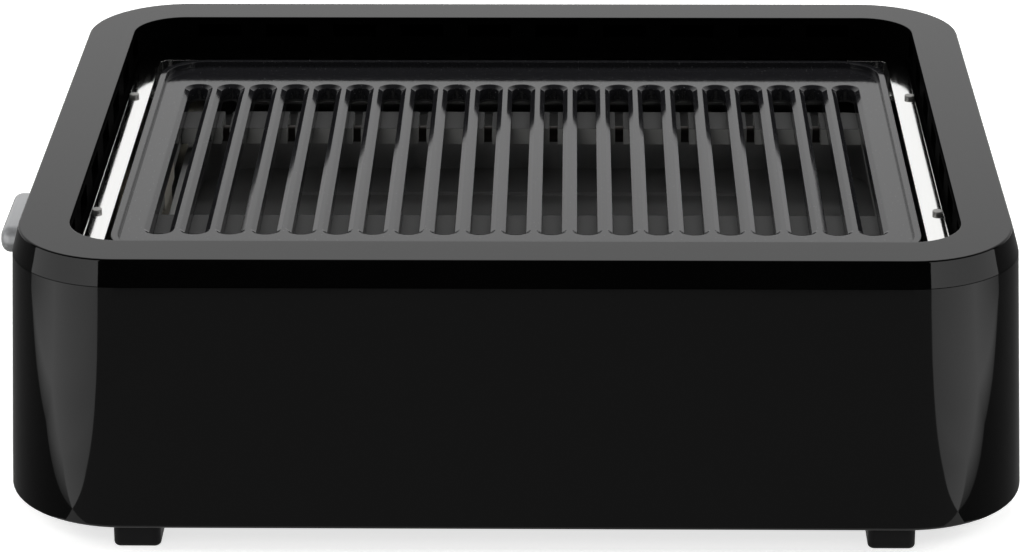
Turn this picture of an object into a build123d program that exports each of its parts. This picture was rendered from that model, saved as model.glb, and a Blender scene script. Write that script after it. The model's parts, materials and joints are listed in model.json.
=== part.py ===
"""Table-top electric grill: a slotted cast plate over a drip tray, in a drafted housing with a fan below.

The origin lies on the table, under the middle of the overall box. +X is to the right, +Y to the rear, +Z up.
"""
import os
from math import cos, pi, radians, sin, tan

from build123d import *

os.makedirs("parts", exist_ok=True)

# Driving dimensions, in millimetres and degrees
rim_length = 436.0
rim_depth = 357.0
rim_corner_radius = 48.5
rim_edge_radius = 1.0
shoulder_inset = 2.6
body_height = 122.2
foot_height = 11.2
draft_angle = 2.85
rim_side_width = 25.0
rim_front_width = 25.5
frame_wall = 3.0
frame_skirt = 11.3
housing_wall = 2.4
seam_gap = 0.3
fit_gap = 0.2
seat_gap = 0.2
running_gap = 0.05
overrun = 1.0

# Heights below the rim
lip_drop = 14.5
plate_drop = 17.0
flange_drop = 16.0
slab_thickness = 8.0
liner_depth = 72.0
knob_drop = 49.5

# Knob, whose reach on the left sets where the middle of the box is
knob_diameter = 58.0
knob_base = 8.0
knob_base_radius = 1.5
knob_grip_width = 13.0
knob_grip_inset = 1.0
knob_length = 18.0
knob_edge_radius = 4.5
knob_gap = 0.8
knob_wall = 3.0
knob_mark_width = 2.0
knob_mark_depth = 1.0
pad_diameter = 34.0
pad_rise = 1.6

# Levels, the well and the body's place, worked out from the values above
well_length = rim_length - 2 * rim_side_width
well_depth = rim_depth - 2 * rim_front_width
well_corner_radius = rim_corner_radius - rim_side_width
rim_top = foot_height + body_height
seam_height = rim_top - frame_skirt
draft_slope = tan(radians(draft_angle))
knob_height = rim_top - knob_drop
wall_reach = rim_length / 2 + knob_drop * draft_slope
pad_reach = wall_reach + pad_rise
knob_back = pad_reach + knob_gap
knob_reach = knob_back + knob_length
base_reach = rim_length / 2 + body_height * draft_slope
body_x = (knob_reach - base_reach) / 2
lip_top = rim_top - lip_drop
plate_top = rim_top - plate_drop
slab_bottom = plate_top - slab_thickness
flange_top = rim_top - flange_drop
liner_bottom = rim_top - liner_depth


def level(height):
    """The horizontal plane at a height, centred on the body."""
    return Plane((body_x, 0, height))


def across(x, y=0, z=0):
    """The plane square to X at a place measured from the body's centre, with its own X to the rear."""
    return Plane((body_x + x, y, z), x_dir=(0, 1, 0), z_dir=(1, 0, 0))


def body_size(height, inset):
    """Length, depth and corner radius of the drafted body at a height, less an inset on each side."""
    grow = (rim_top - height) * draft_slope - inset
    return rim_length + 2 * grow, rim_depth + 2 * grow, rim_corner_radius + grow


def drafted_block(low, high, inset):
    """A solid slice of the drafted body between two heights."""
    with BuildPart() as block:
        for height in (low, high):
            with BuildSketch(level(height)):
                RectangleRounded(*body_size(height, inset))
        loft(ruled=True)
    return block.part


def shoulder_block(high, inset):
    """A solid slice of the body above the seam, where the skirt leans in towards the rim."""
    with BuildPart() as block:
        for height, lean in ((seam_height, 0), (high, shoulder_inset)):
            with BuildSketch(level(height)):
                RectangleRounded(*body_size(height, inset + lean))
        loft(ruled=True)
    return block.part


def ring_places(radius, count):
    """Evenly spaced places on a circle about the body's centre."""
    angles = [2 * pi * turn / count for turn in range(count)]
    return [(radius * cos(angle), radius * sin(angle)) for angle in angles]


def write_piece(builder, node):
    """Label a finished piece and write its STEP file."""
    builder.part.label = node
    export_step(builder.part, f"parts/{node}.step")


def screw(places, seat, head_diameter, head_height, shank_diameter, shank_length, up):
    """Pan-head screws at a list of places; seat is the height under the head, up the way the shank points."""
    way = 1 if up else -1
    with BuildPart() as screws:
        for x, y in places:
            with BuildSketch(Plane((body_x + x, y, seat), z_dir=(0, 0, way))):
                Circle(shank_diameter / 2)
            extrude(amount=shank_length)
            with BuildSketch(Plane((body_x + x, y, seat), z_dir=(0, 0, -way))):
                Circle(head_diameter / 2)
            extrude(amount=head_height)
    return screws


# Screws and the pillars that they draw together
pillar_diameter = 10.0
pillar_inset = 13.3
pillar_rib = 4.0
pillar_split = 92.0
screw_diameter = 3.4
screw_head_diameter = 6.6
tie_grip = 14.0
screw_hole_gap = 0.15
pillar_arc_radius = rim_corner_radius + body_height * draft_slope - pillar_inset
pillar_x = rim_length / 2 - rim_corner_radius + pillar_arc_radius * cos(pi / 4)
pillar_y = rim_depth / 2 - rim_corner_radius + pillar_arc_radius * sin(pi / 4)
corner_places = [(sx * pillar_x, sy * pillar_y) for sx in (-1, 1) for sy in (-1, 1)]
pilot_radius = screw_diameter / 2 + screw_hole_gap
head_hole_radius = screw_head_diameter / 2 + fit_gap

# Top frame: skirt, rim, well wall with vent windows, and the ledge that carries the liner
tongue_depth = 4.0
tongue_thickness = 1.6
ledge_width = 7.5
ledge_thickness = 2.5
liner_sheet = 0.8
ledge_top = flange_top - liner_sheet
ledge_bottom = ledge_top - ledge_thickness
rim_inner_radius = 0.8
rear_window_count = 10
rear_window_bar = 12.4
rear_window_margin = 23.0
rear_window_pitch = (well_length - 2 * rear_window_margin) / rear_window_count
rear_window_length = rear_window_pitch - rear_window_bar
rear_window_sill = 10.7
side_window_count = 7
side_window_bar = 20.3
side_window_margin = 3.2
side_window_pitch = (well_depth - 2 * side_window_margin) / side_window_count
side_window_length = side_window_pitch - side_window_bar
side_window_sill = 14.0
window_head = 3.6
liner_screw_inset = 4.6
liner_screw_shares = (-0.255, 0.255)
liner_screw_x = well_length / 2 - liner_screw_inset
liner_screw_diameter = 3.0
liner_screw_head = 4.6
liner_screw_head_height = 1.4
liner_screw_length = 7.0
liner_boss_diameter = 7.0
liner_screw_places = [
    (sx * liner_screw_x, share * well_depth) for sx in (-1, 1) for share in liner_screw_shares
]

frame_block = shoulder_block(rim_top, 0)
frame_hollow = shoulder_block(rim_top - frame_wall, frame_wall)
tongue_inset = housing_wall + fit_gap
tongue_low = seam_height - tongue_depth
tongue_high = seam_height + tongue_depth
tongue_block = drafted_block(tongue_low, tongue_high, tongue_inset)
tongue_hollow = drafted_block(tongue_low, tongue_high, tongue_inset + tongue_thickness)
post_length = rim_top - frame_wall / 2 - pillar_split

with BuildPart() as top_frame:
    add(frame_block)
    fillet(top_frame.faces().sort_by(Axis.Z)[-1].edges(), rim_edge_radius)
    add(frame_hollow, mode=Mode.SUBTRACT)
    add(tongue_block)
    add(tongue_hollow, mode=Mode.SUBTRACT)
    with BuildSketch(level(ledge_bottom)):
        RectangleRounded(
            well_length + 2 * frame_wall, well_depth + 2 * frame_wall, well_corner_radius + frame_wall
        )
    extrude(amount=rim_top - frame_wall / 2 - ledge_bottom)
    with BuildSketch(level(ledge_top)):
        RectangleRounded(well_length, well_depth, well_corner_radius)
    extrude(amount=rim_top - ledge_top + overrun, mode=Mode.SUBTRACT)
    with BuildSketch(level(ledge_bottom)):
        RectangleRounded(
            well_length - 2 * ledge_width, well_depth - 2 * ledge_width, well_corner_radius - ledge_width
        )
    extrude(amount=ledge_thickness + overrun, mode=Mode.SUBTRACT)
    fillet(top_frame.faces().sort_by(Axis.Z)[-1].inner_wires().edges(), rim_inner_radius)
    # Vent windows in the rear and front walls, then in the side walls
    for span, sill, across_x in (
        (rear_window_length, rear_window_sill, True),
        (side_window_length, side_window_sill, False),
    ):
        window_height = sill - window_head
        with Locations(level(rim_top - window_head - window_height / 2)):
            if across_x:
                with GridLocations(rear_window_pitch, well_depth + frame_wall, rear_window_count, 2):
                    Box(span, frame_wall + overrun, window_height, mode=Mode.SUBTRACT)
            else:
                with GridLocations(well_length + frame_wall, side_window_pitch, 2, side_window_count):
                    Box(frame_wall + overrun, span, window_height, mode=Mode.SUBTRACT)
    # Posts that meet the housing's pillars, and bosses under the ledge for the liner's screws
    with BuildSketch(level(pillar_split)):
        with Locations(*corner_places):
            Circle(pillar_diameter / 2)
            Circle(pilot_radius, mode=Mode.SUBTRACT)
    extrude(amount=post_length)
    with BuildSketch(level(ledge_top - liner_screw_length)):
        with Locations(*liner_screw_places):
            Circle(liner_boss_diameter / 2)
    extrude(amount=liner_screw_length)
    with BuildSketch(level(ledge_top - liner_screw_length)):
        with Locations(*liner_screw_places):
            Circle(liner_screw_diameter / 2 + screw_hole_gap)
    extrude(amount=liner_screw_length + overrun, mode=Mode.SUBTRACT)

# Lower housing: the drafted wall, its pillars, and the holes for the shaft and the gland
housing_edge_radius = 1.4
plate_thickness = 2.5
base_plate_top = foot_height + plate_thickness
rib_turn = 45
bush_diameter = 10.0
bush_gap = 0.2
thermostat_size = 30.0
bracket_height = 40.0
gland_inset = 78.0
gland_x = rim_length / 2 - gland_inset
gland_height = 66.0
gland_diameter = 12.0
gland_drop = rim_top - gland_height
gland_y = rim_depth / 2 + gland_drop * draft_slope

housing_top = seam_height - seam_gap
housing_block = drafted_block(foot_height, housing_top, 0)
housing_hollow = drafted_block(foot_height, housing_top, housing_wall)
rear_wall_normal = (0, cos(radians(draft_angle)), sin(radians(draft_angle)))
gland_plane = Plane((body_x + gland_x, gland_y, gland_height), x_dir=(1, 0, 0), z_dir=rear_wall_normal)

# The ribs run to the middle of the leaning wall
with BuildPart() as pillars:
    with BuildSketch(level(base_plate_top)):
        with Locations(*corner_places):
            Circle(pillar_diameter / 2)
        for sx in (-1, 1):
            for sy in (-1, 1):
                rib_middle = pillar_inset / 2 * cos(pi / 4)
                with Locations((sx * (pillar_x + rib_middle), sy * (pillar_y + rib_middle))):
                    Rectangle(pillar_inset, pillar_rib, rotation=sx * sy * rib_turn)
    extrude(amount=pillar_split - base_plate_top)
    add(drafted_block(foot_height, housing_top, housing_wall / 2), mode=Mode.INTERSECT)

with BuildPart() as lower_housing:
    add(housing_block)
    fillet(lower_housing.faces().sort_by(Axis.Z)[0].edges(), housing_edge_radius)
    add(housing_hollow, mode=Mode.SUBTRACT)
    add(pillars.part)
    with BuildSketch(level(base_plate_top)):
        with Locations(*corner_places):
            Circle(pilot_radius)
    extrude(amount=pillar_split - base_plate_top, mode=Mode.SUBTRACT)
    with BuildSketch(across(-wall_reach + housing_wall, 0, knob_height)):
        Circle(pad_diameter / 2)
    extrude(amount=-(housing_wall + pad_rise))
    with BuildSketch(across(-wall_reach + housing_wall, 0, knob_height)):
        Rectangle(thermostat_size + 2 * fit_gap, bracket_height + 2 * fit_gap)
    extrude(amount=pad_diameter / 2, mode=Mode.SUBTRACT)
    with BuildSketch(across(-pad_reach, 0, knob_height)):
        Circle(bush_diameter / 2 + bush_gap)
    extrude(amount=pad_diameter / 2, both=True, mode=Mode.SUBTRACT)
    with BuildSketch(gland_plane):
        Circle(gland_diameter / 2 + fit_gap)
    extrude(amount=gland_diameter, both=True, mode=Mode.SUBTRACT)

# Bottom plate with the exhaust slots under the fan
foot_size = 20.6
foot_side_inset = 54.0
foot_x = rim_length / 2 - foot_side_inset
foot_inset = 5.0
foot_y = rim_depth / 2 + body_height * draft_slope - foot_inset - foot_size / 2
foot_corner_radius = 3.0
foot_edge_radius = 2.0
foot_stem_diameter = 8.0
foot_stem_rise = 1.5
foot_places = [(sx * foot_x, sy * foot_y) for sx in (-1, 1) for sy in (-1, 1)]
shroud_radius = 62.0
shroud_sheet = 1.2
exhaust_radius = 49.0
exhaust_slot_length = 16.0
exhaust_slot_width = 5.0
exhaust_count = 24
bracket_leg_radius = 33.0
bracket_leg_count = 3
bracket_screw_diameter = 3.0
bracket_screw_head = 5.5
bracket_screw_head_height = 1.8
shroud_ear_count = 4
leg_width = 9.0
shroud_ear_radius = shroud_radius + leg_width / 2 - shroud_sheet
leg_places = ring_places(bracket_leg_radius, bracket_leg_count)
ear_places = ring_places(shroud_ear_radius, shroud_ear_count)
bracket_pilot_radius = bracket_screw_diameter / 2 + screw_hole_gap

with BuildPart() as bottom_plate:
    with BuildSketch(level(foot_height)):
        RectangleRounded(*body_size(foot_height, housing_wall + fit_gap + plate_thickness * draft_slope))
        with Locations(*corner_places):
            Circle(pilot_radius, mode=Mode.SUBTRACT)
        with Locations(*foot_places):
            Circle(foot_stem_diameter / 2 + running_gap, mode=Mode.SUBTRACT)
        with Locations(*leg_places, *ear_places):
            Circle(bracket_pilot_radius, mode=Mode.SUBTRACT)
        with PolarLocations(exhaust_radius, exhaust_count):
            SlotOverall(exhaust_slot_length, exhaust_slot_width, mode=Mode.SUBTRACT)
    extrude(amount=plate_thickness)
    with BuildSketch(level(foot_height)):
        with Locations(*corner_places):
            Circle(head_hole_radius)
    extrude(amount=plate_thickness / 2, mode=Mode.SUBTRACT)

# Feet: push-in rubber blocks
foot_names = ("foot_front_left", "foot_rear_left", "foot_front_right", "foot_rear_right")
feet = {}
for foot_name, (x, y) in zip(foot_names, foot_places):
    with BuildPart() as foot:
        with BuildSketch(Plane((body_x + x, y, 0))):
            RectangleRounded(foot_size, foot_size, foot_corner_radius)
        extrude(amount=foot_height)
        fillet(foot.faces().sort_by(Axis.Z)[0].edges(), foot_edge_radius)
        with BuildSketch(Plane((body_x + x, y, foot_height))):
            Circle(foot_stem_diameter / 2)
        extrude(amount=plate_thickness + foot_stem_rise)
    feet[foot_name] = foot

# Liner: polished steel pan with a flange on the frame's ledge and corner gussets that carry the plate
flange_side_gap = 2.0
flange_side_width = 9.8
flange_front_width = 18.0
opening_corner_radius = 4.0
gusset_leg = 32.0
gusset_sheet = 1.2
gusset_top = slab_bottom - seat_gap
socket_length = 44.0
socket_height = 23.0
socket_width = 15.6
spigot_length = 30.0
spigot_height = 12.0
holder_height = 12.0
holder_gap = 1.0
socket_top = slab_bottom - holder_height - holder_gap
socket_bottom = socket_top - socket_height
spigot_centre = (socket_top + socket_bottom) / 2
liner_floor = liner_bottom + liner_sheet
flange_length = well_length - 2 * flange_side_gap
flange_depth = well_depth - 2 * flange_side_gap
opening_length = flange_length - 2 * flange_side_width
opening_depth = flange_depth - 2 * flange_front_width
pan_radius = opening_corner_radius + liner_sheet

with BuildPart() as liner:
    with BuildSketch(level(flange_top - liner_sheet)):
        RectangleRounded(flange_length, flange_depth, well_corner_radius - flange_side_gap)
    extrude(amount=liner_sheet)
    with BuildSketch(level(liner_bottom)):
        RectangleRounded(opening_length + 2 * liner_sheet, opening_depth + 2 * liner_sheet, pan_radius)
    extrude(amount=flange_top - liner_bottom)
    with BuildSketch(level(liner_floor)):
        RectangleRounded(opening_length, opening_depth, opening_corner_radius)
    extrude(amount=flange_top - liner_floor + overrun, mode=Mode.SUBTRACT)
    with BuildSketch(level(gusset_top - gusset_sheet)):
        for sx in (-1, 1):
            for sy in (-1, 1):
                corner_x = sx * (opening_length + liner_sheet) / 2
                corner_y = sy * (opening_depth + liner_sheet) / 2
                with BuildLine():
                    Polyline(
                        (corner_x, corner_y),
                        (corner_x - sx * gusset_leg, corner_y),
                        (corner_x, corner_y - sy * gusset_leg),
                        close=True,
                    )
                make_face()
        RectangleRounded(
            opening_length + liner_sheet,
            opening_depth + liner_sheet,
            opening_corner_radius + liner_sheet / 2,
            mode=Mode.INTERSECT,
        )
    extrude(amount=gusset_sheet)
    with BuildSketch(level(flange_top - liner_sheet)):
        with Locations(*liner_screw_places):
            Circle(liner_screw_diameter / 2 + screw_hole_gap)
    extrude(amount=liner_sheet, mode=Mode.SUBTRACT)
    with BuildSketch(across(-opening_length / 2 + overrun, 0, spigot_centre)):
        Rectangle(spigot_length + 2 * fit_gap, spigot_height + 2 * fit_gap)
    extrude(amount=-(liner_sheet + 2 * overrun), mode=Mode.SUBTRACT)

liner_screws = screw(
    liner_screw_places, flange_top, liner_screw_head, liner_screw_head_height, liner_screw_diameter,
    liner_screw_length, up=False,
)

# Grill plate: cast tray with countersunk slots and the heater boss below
grill_side_gap = 2.6
grill_front_gap = 3.6
grill_length = opening_length - 2 * grill_side_gap
grill_depth = opening_depth - 2 * grill_front_gap
grill_corner_radius = 22.0
lip_width = 3.0
slot_count = 21
slot_side_margin = 12.2
slot_end_margin = 27.9
slot_pitch = (grill_length - 2 * slot_side_margin) / slot_count
slot_length = grill_depth - 2 * slot_end_margin
slot_centre_y = -1.5
slot_width = 9.0
countersink_width = 2.3
countersink_depth = 1.4
boss_depth = 8.0
boss_run_inset = 31.5
boss_run_y = slot_length / 2 - boss_run_inset
boss_run_width = 24.0
boss_side_width = 13.0
boss_corner_radius = 20.0
boss_gap = 4.0
boss_gap_count = 10
element_diameter = 8.0
element_bury = 1.0
element_corner_radius = 16.0
element_end = 16.0
boss_bottom = slab_bottom - boss_depth
side_run_x = (grill_length - boss_side_width) / 2 - lip_width / 2
holder_length = 44.0
holder_width = boss_side_width
element_height = boss_bottom + element_bury
groove_radius = element_diameter / 2 + fit_gap / 2

with BuildPart() as slot_cutter:
    for depth, narrow in ((0, 0), (countersink_depth, countersink_width)):
        with BuildSketch(level(plate_top - depth)):
            with Locations((0, slot_centre_y)):
                SlotOverall(
                    slot_length - 2 * narrow, slot_width + 2 * (countersink_width - narrow), rotation=90
                )
    loft(ruled=True)
    with BuildSketch(level(slab_bottom - overrun)):
        with Locations((0, slot_centre_y)):
            SlotOverall(slot_length - 2 * countersink_width, slot_width, rotation=90)
    extrude(amount=slab_thickness)

with BuildLine(level(element_height)) as element_line:
    FilletPolyline(
        (-side_run_x, -element_end),
        (-side_run_x, -boss_run_y),
        (side_run_x, -boss_run_y),
        (side_run_x, boss_run_y),
        (-side_run_x, boss_run_y),
        (-side_run_x, element_end),
        radius=element_corner_radius,
    )
element_start = Plane((body_x - side_run_x, -element_end, element_height), x_dir=(1, 0, 0), z_dir=(0, -1, 0))

with BuildPart() as groove_cutter:
    with BuildSketch(element_start):
        Circle(groove_radius)
    sweep(path=element_line.line)

with BuildPart() as grill_plate:
    with BuildSketch(level(slab_bottom)):
        RectangleRounded(grill_length, grill_depth, grill_corner_radius)
    extrude(amount=lip_top - slab_bottom)
    with BuildSketch(level(plate_top)):
        RectangleRounded(
            grill_length - 2 * lip_width, grill_depth - 2 * lip_width, grill_corner_radius - lip_width
        )
    extrude(amount=lip_top - plate_top + overrun, mode=Mode.SUBTRACT)
    with GridLocations(slot_pitch, 0, slot_count, 1):
        add(slot_cutter.part, mode=Mode.SUBTRACT)
    with BuildSketch(level(boss_bottom)):
        RectangleRounded(
            2 * side_run_x + boss_side_width, 2 * boss_run_y + boss_run_width, boss_corner_radius
        )
        Rectangle(2 * side_run_x - boss_side_width, 2 * boss_run_y - boss_run_width, mode=Mode.SUBTRACT)
        with Locations((-side_run_x, 0)):
            Rectangle(boss_side_width + overrun, holder_length + 2 * fit_gap, mode=Mode.SUBTRACT)
    extrude(amount=boss_depth)
    # Gaps between the rear run's lugs, one to every second bar, let the air up behind the heater
    with Locations(Plane((body_x, boss_run_y, boss_bottom))):
        with GridLocations(2 * slot_pitch, 0, boss_gap_count, 1):
            Box(
                boss_gap, boss_run_width + overrun, boss_depth,
                align=(Align.CENTER, Align.CENTER, Align.MIN), mode=Mode.SUBTRACT,
            )
    add(groove_cutter.part, mode=Mode.SUBTRACT)

# Heating element in the boss, its clips, and the holder with the two contact pins
with BuildPart() as heating_element:
    with BuildSketch(element_start):
        Circle(element_diameter / 2)
    sweep(path=element_line.line)

clip_width = 10.0
clip_sheet = 0.8
clip_tab = 5.0
clip_xs = (-100.0, 0.0, 100.0)
clip_inner = element_diameter / 2 + fit_gap

with BuildPart() as element_clips:
    for x in clip_xs:
        for y in (-boss_run_y, boss_run_y):
            with BuildSketch(across(x - clip_width / 2, y, element_height)):
                Circle(clip_inner + clip_sheet)
                with Locations((0, -element_bury - clip_sheet / 2)):
                    Rectangle(2 * (clip_inner + clip_sheet + clip_tab), clip_sheet)
                Circle(clip_inner, mode=Mode.SUBTRACT)
                with Locations((0, -element_bury)):
                    Rectangle(
                        4 * (clip_inner + clip_tab), 4 * clip_inner,
                        align=(Align.CENTER, Align.MIN), mode=Mode.SUBTRACT,
                    )
            extrude(amount=clip_width)

pin_diameter = 5.0
pin_length = 16.0
pin_bury = 6.0
pin_spread = 20.0
pin_gap = 0.4
pin_places = [(-side_run_x, sy * pin_spread / 2) for sy in (-1, 1)]
holder_bottom = slab_bottom - holder_height

with BuildPart() as terminal_holder:
    with Locations(Plane((body_x - side_run_x, 0, holder_bottom))):
        Box(holder_width, holder_length, holder_height, align=(Align.CENTER, Align.CENTER, Align.MIN))
    for sy in (-1, 1):
        end_plane = Plane((body_x - side_run_x, sy * element_end, element_height), z_dir=(0, sy, 0))
        with BuildSketch(end_plane):
            Circle(groove_radius)
        extrude(amount=holder_length / 2, mode=Mode.SUBTRACT)
    with BuildSketch(level(holder_bottom)):
        with Locations(*pin_places):
            Circle(pin_diameter / 2 + running_gap)
    extrude(amount=pin_bury, mode=Mode.SUBTRACT)

with BuildPart() as terminal_pins:
    with BuildSketch(level(holder_bottom - pin_length)):
        with Locations(*pin_places):
            Circle(pin_diameter / 2)
    extrude(amount=pin_length + pin_bury)

# Socket on the liner's left wall: the pins drop into it when the plate is set down
with BuildPart() as terminal_socket:
    with Locations(Plane((body_x - opening_length / 2, 0, socket_bottom))):
        Box(socket_width, socket_length, socket_height, align=(Align.MIN, Align.CENTER, Align.MIN))
    with BuildSketch(across(-opening_length / 2, 0, spigot_centre)):
        Rectangle(spigot_length, spigot_height)
    extrude(amount=-(liner_sheet + overrun))
    with BuildSketch(level(socket_top)):
        with Locations(*pin_places):
            Circle(pin_diameter / 2 + pin_gap)
    extrude(amount=-(pin_length + overrun), mode=Mode.SUBTRACT)

# Drip tray under the plate, beside the socket
tray_side_gap = 8.0
tray_wall = 1.2
tray_height = 30.0
tray_corner_radius = 30.0
tray_lip = 2.5
tray_socket_gap = 5.0
tray_rib_length = 220.0
tray_rib_width = 5.0
tray_rib_height = 1.6
tray_rib_pitch = 44.0
tray_rib_count = 5
tray_bottom = liner_floor + seat_gap
tray_left_gap = socket_width + tray_socket_gap
tray_length = opening_length - tray_side_gap - tray_left_gap
tray_depth = opening_depth - 2 * tray_side_gap
tray_x = (tray_left_gap - tray_side_gap) / 2


def tray_outline(plane, inset):
    """The tray's plan at a plane, drawn in by an inset; it stops short of the socket on its left."""
    with BuildSketch(plane) as plan:
        with Locations((tray_x, 0)):
            RectangleRounded(tray_length - 2 * inset, tray_depth - 2 * inset, tray_corner_radius - inset)
    return plan.sketch


tray_plan = tray_outline(level(tray_bottom), 0)
tray_inside = tray_outline(level(tray_bottom + tray_wall), tray_wall)
tray_lip_plan = tray_outline(level(tray_bottom + tray_height - tray_wall), -tray_lip)

with BuildPart() as drip_tray:
    extrude(tray_plan, amount=tray_height)
    extrude(tray_lip_plan, amount=tray_wall)
    extrude(tray_inside, amount=tray_height, mode=Mode.SUBTRACT)
    with Locations(level(tray_bottom + tray_wall)):
        with GridLocations(0, tray_rib_pitch, 1, tray_rib_count):
            Box(
                tray_rib_length, tray_rib_width, tray_rib_height,
                align=(Align.CENTER, Align.CENTER, Align.MIN),
            )

# Thermostat behind the left wall, its bracket, shaft and knob
shaft_diameter = 6.0
thermostat_depth = 16.0
bracket_sheet = 1.2
nut_width = 14.0
nut_height = 2.5
hub_recess = 4.5
bush_length = bracket_sheet + housing_wall + pad_rise + nut_height
bracket_face = wall_reach - housing_wall
bracket_foot = 14.0
thermostat_front = bracket_face - bracket_sheet
shaft_start = thermostat_front - thermostat_depth / 2
shaft_end = knob_reach - knob_wall - overrun

with BuildPart() as thermostat_bracket:
    with BuildSketch(across(-bracket_face, 0, knob_height)):
        Rectangle(thermostat_size, bracket_height)
        Circle(bush_diameter / 2 + fit_gap, mode=Mode.SUBTRACT)
    extrude(amount=bracket_sheet)
    with BuildSketch(level(knob_height - bracket_height / 2)):
        with Locations((-bracket_face + bracket_foot / 2, 0)):
            Rectangle(bracket_foot, thermostat_size)
    extrude(amount=bracket_sheet)

with BuildPart() as thermostat_body:
    with BuildSketch(across(-thermostat_front, 0, knob_height)):
        RectangleRounded(thermostat_size, thermostat_size, foot_corner_radius)
    extrude(amount=thermostat_depth)
    with BuildSketch(across(-thermostat_front, 0, knob_height)):
        Circle(bush_diameter / 2)
    extrude(amount=-bush_length)
    with BuildSketch(across(-shaft_start, 0, knob_height)):
        Circle(shaft_diameter / 2 + running_gap)
    extrude(amount=-knob_length, mode=Mode.SUBTRACT)

with BuildPart() as thermostat_shaft:
    with BuildSketch(across(-shaft_start - running_gap, 0, knob_height)):
        Circle(shaft_diameter / 2)
    extrude(amount=-(shaft_end - shaft_start))

with BuildPart() as bush_nut:
    with BuildSketch(across(-pad_reach, 0, knob_height)):
        RegularPolygon(nut_width / 2, 6)
        Circle(bush_diameter / 2 + running_gap, mode=Mode.SUBTRACT)
    extrude(amount=-nut_height)

with BuildPart() as control_knob:
    with BuildSketch(across(-knob_back, 0, knob_height)):
        Circle(knob_diameter / 2)
    extrude(amount=-knob_base)
    fillet(control_knob.faces().sort_by(Axis.X)[0].edges(), knob_base_radius)
    grip_length = knob_diameter - 2 * (knob_base_radius + knob_grip_inset)
    with BuildSketch(across(-knob_back - knob_base, 0, knob_height)):
        SlotOverall(grip_length, knob_grip_width)
    extrude(amount=-(knob_length - knob_base))
    fillet(control_knob.faces().sort_by(Axis.X)[0].edges(), knob_edge_radius)
    with BuildSketch(across(-knob_back, 0, knob_height)):
        Circle(knob_diameter / 2 - knob_wall)
    extrude(amount=-hub_recess, mode=Mode.SUBTRACT)
    with BuildSketch(across(-knob_back, 0, knob_height)):
        Circle(shaft_diameter / 2 + running_gap)
    extrude(amount=-(shaft_end - knob_back + overrun), mode=Mode.SUBTRACT)
    with Locations(Plane((body_x - knob_reach, -knob_diameter / 2, knob_height))):
        Box(2 * knob_mark_depth, knob_diameter / 2, knob_mark_width, mode=Mode.SUBTRACT)

# Fan in the base: motor on a three-legged bracket, shaft, impeller and shroud
motor_diameter = 46.0
motor_neck_diameter = 12.0
motor_neck_height = 3.0
motor_lift = 4.0
fan_shaft_diameter = 4.0
impeller_diameter = 108.0
impeller_disc = 1.4
impeller_gap = 2.0
hub_diameter = 12.0
blade_count = 18
blade_inner_radius = 32.0
blade_thickness = 1.4
blade_bend_radius = 34.0
blade_sweep = 24.0
inlet_radius = 36.0
impeller_extra_height = 3.0
liner_fan_gap = 3.7
motor_bottom = base_plate_top + motor_lift
fan_room = liner_bottom - liner_fan_gap - motor_bottom - motor_neck_height - 3 * impeller_gap
motor_height = (fan_room - impeller_extra_height) / 2
impeller_height = (fan_room + impeller_extra_height) / 2
motor_top = motor_bottom + motor_height
impeller_bottom = motor_top + motor_neck_height + impeller_gap
impeller_top = impeller_bottom + impeller_height
shroud_top = impeller_top + 2 * impeller_gap
blade_outer_radius = impeller_diameter / 2 - impeller_disc
bracket_radius = motor_diameter / 2 + impeller_gap

with BuildPart() as motor_bracket:
    with BuildSketch(level(motor_bottom - bracket_sheet)):
        Circle(bracket_radius)
        with PolarLocations(bracket_leg_radius / 2, bracket_leg_count):
            Rectangle(bracket_leg_radius + leg_width, leg_width)
    extrude(amount=bracket_sheet)
    with BuildSketch(level(base_plate_top)):
        with PolarLocations(bracket_leg_radius, bracket_leg_count):
            Rectangle(leg_width, leg_width)
    extrude(amount=motor_lift - bracket_sheet)
    with BuildSketch(level(base_plate_top)):
        with Locations(*leg_places):
            Circle(bracket_pilot_radius)
    extrude(amount=motor_lift, mode=Mode.SUBTRACT)

with BuildPart() as fan_motor:
    with BuildSketch(level(motor_bottom)):
        Circle(motor_diameter / 2)
    extrude(amount=motor_height)
    fillet(fan_motor.faces().sort_by(Axis.Z)[-1].edges(), foot_edge_radius)
    with BuildSketch(level(motor_top)):
        Circle(motor_neck_diameter / 2)
    extrude(amount=motor_neck_height)
    with BuildSketch(level(motor_bottom + foot_edge_radius)):
        Circle(fan_shaft_diameter / 2 + running_gap)
    extrude(amount=motor_height + motor_neck_height, mode=Mode.SUBTRACT)

with BuildPart() as fan_shaft:
    with BuildSketch(level(motor_bottom + foot_edge_radius + fit_gap)):
        Circle(fan_shaft_diameter / 2)
    extrude(amount=impeller_top - motor_bottom - foot_edge_radius - fit_gap)

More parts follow.
